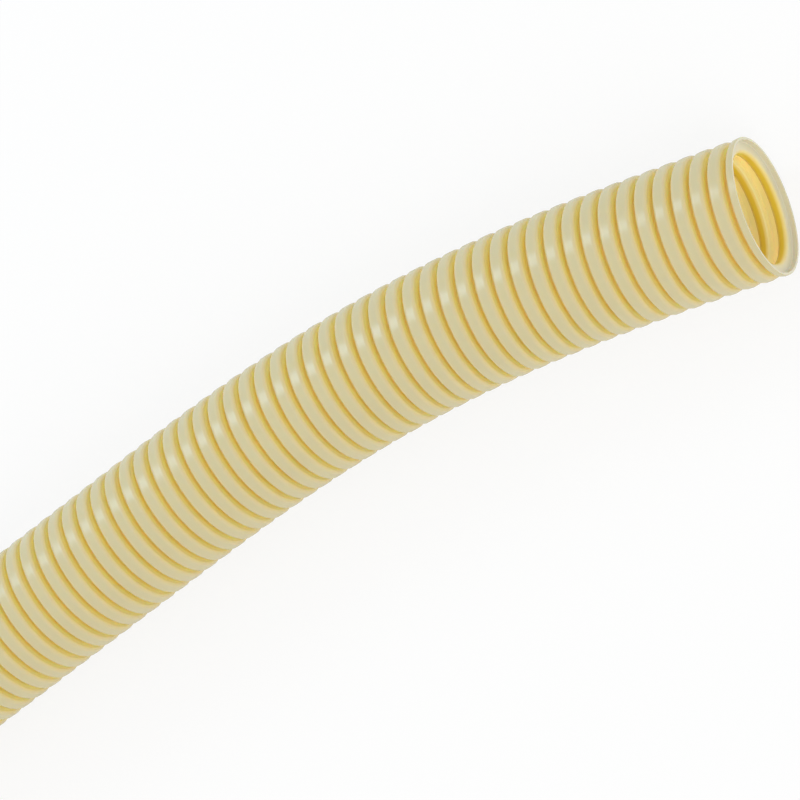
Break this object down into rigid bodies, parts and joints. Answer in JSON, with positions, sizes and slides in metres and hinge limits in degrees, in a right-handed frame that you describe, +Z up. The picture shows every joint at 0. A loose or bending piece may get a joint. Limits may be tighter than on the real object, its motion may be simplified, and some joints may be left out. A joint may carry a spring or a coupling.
{
  "type": "corrugated conduit",
  "caption": "One metre of ridged single-wall plastic conduit, cut from a coil: straight for most of its length, with a gentle bend just behind one of its two cut ends.",
  "frame": {"origin": "centre of the tail's cut opening, on the pipe's axis", "axes": "+X along the straight tail into the pipe, +Z up from the floor that the pipe lies on; the bend lies flat and turns the mouth toward -Y"},
  "size_m": [1.0042, 0.0818, 0.0456],
  "materials": {
    "cream_plastic": "glossy, slightly translucent cream plastic"
  },
  "bodies": {
    "root": {"conduit": "cream_plastic"}
  },
  "joints": []
}
